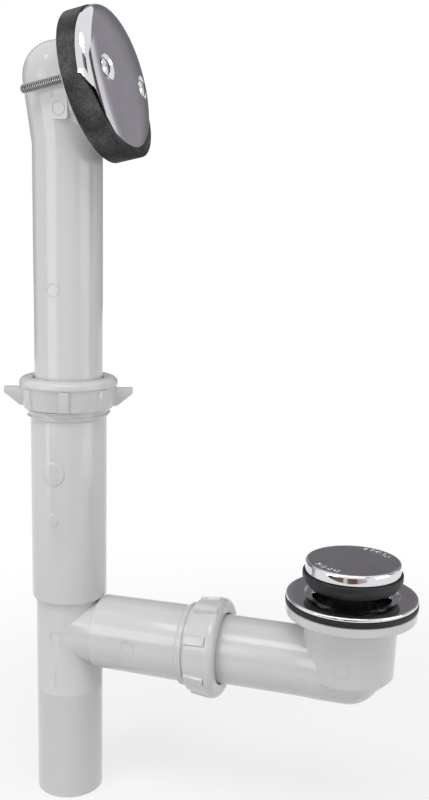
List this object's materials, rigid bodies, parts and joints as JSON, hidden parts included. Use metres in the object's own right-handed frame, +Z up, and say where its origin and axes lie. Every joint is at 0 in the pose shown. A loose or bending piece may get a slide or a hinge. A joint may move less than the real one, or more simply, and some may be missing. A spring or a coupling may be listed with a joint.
{
  "type": "bath drain",
  "caption": "Bath waste and overflow set with slip joints, domed overflow elbow, clamped drain flange and a sprung push stopper.",
  "frame": {"origin": "centre of the bath outlet at the underside of the drain flange, where the bath's floor is clamped", "axes": "+Z up; the arm and the overflow lie towards -X, and the overflow plate faces +X; Y across the bath's end"},
  "size_m": [0.2349, 0.0806, 0.4445],
  "materials": {
    "white_plastic": "moulded, slightly translucent",
    "washer_plastic": "soft",
    "chrome": "polished",
    "black_rubber": "smooth",
    "black_foam": "matt closed-cell foam",
    "steel": "plain",
    "black_plastic": "moulded",
    "brass": "turned"
  },
  "bodies": {
    "waste": {"bath_shoe": "white_plastic", "shoe_gasket": "black_rubber", "drain_flange": "chrome", "stopper_post": "brass", "post_nut": "brass", "stopper_spring": "steel"},
    "stopper": {"stopper_cap": "chrome", "stopper_seal": "black_rubber", "seal_washer": "steel", "stopper_sleeve": "black_plastic", "latch_pin": "steel"},
    "tee": {"tee": "white_plastic", "arm_slip_nut": "white_plastic", "arm_slip_washer": "washer_plastic", "overflow_slip_nut": "white_plastic", "overflow_slip_washer": "washer_plastic"},
    "overflow": {"overflow_elbow": "white_plastic", "overflow_gasket": "black_foam", "overflow_plate": "chrome", "plate_screw_near": "steel", "plate_screw_far": "steel"}
  },
  "joints": [
    {"name": "stopper_lift", "type": "slide", "parent": "waste", "child": "stopper", "axis": [0, 0, 1], "range_m": [-0.006, 0], "stiffness_N_per_m": 150, "springref_m": 0.01, "deforming": ["stopper_spring"]},
    {"name": "arm_reach", "type": "slide", "parent": "waste", "child": "tee", "axis": [1, 0, 0], "range_m": [-0.018, 0.024]},
    {"name": "overflow_height", "type": "slide", "parent": "tee", "child": "overflow", "axis": [0, 0, 1], "range_m": [-0.034, 0.04]}
  ]
}
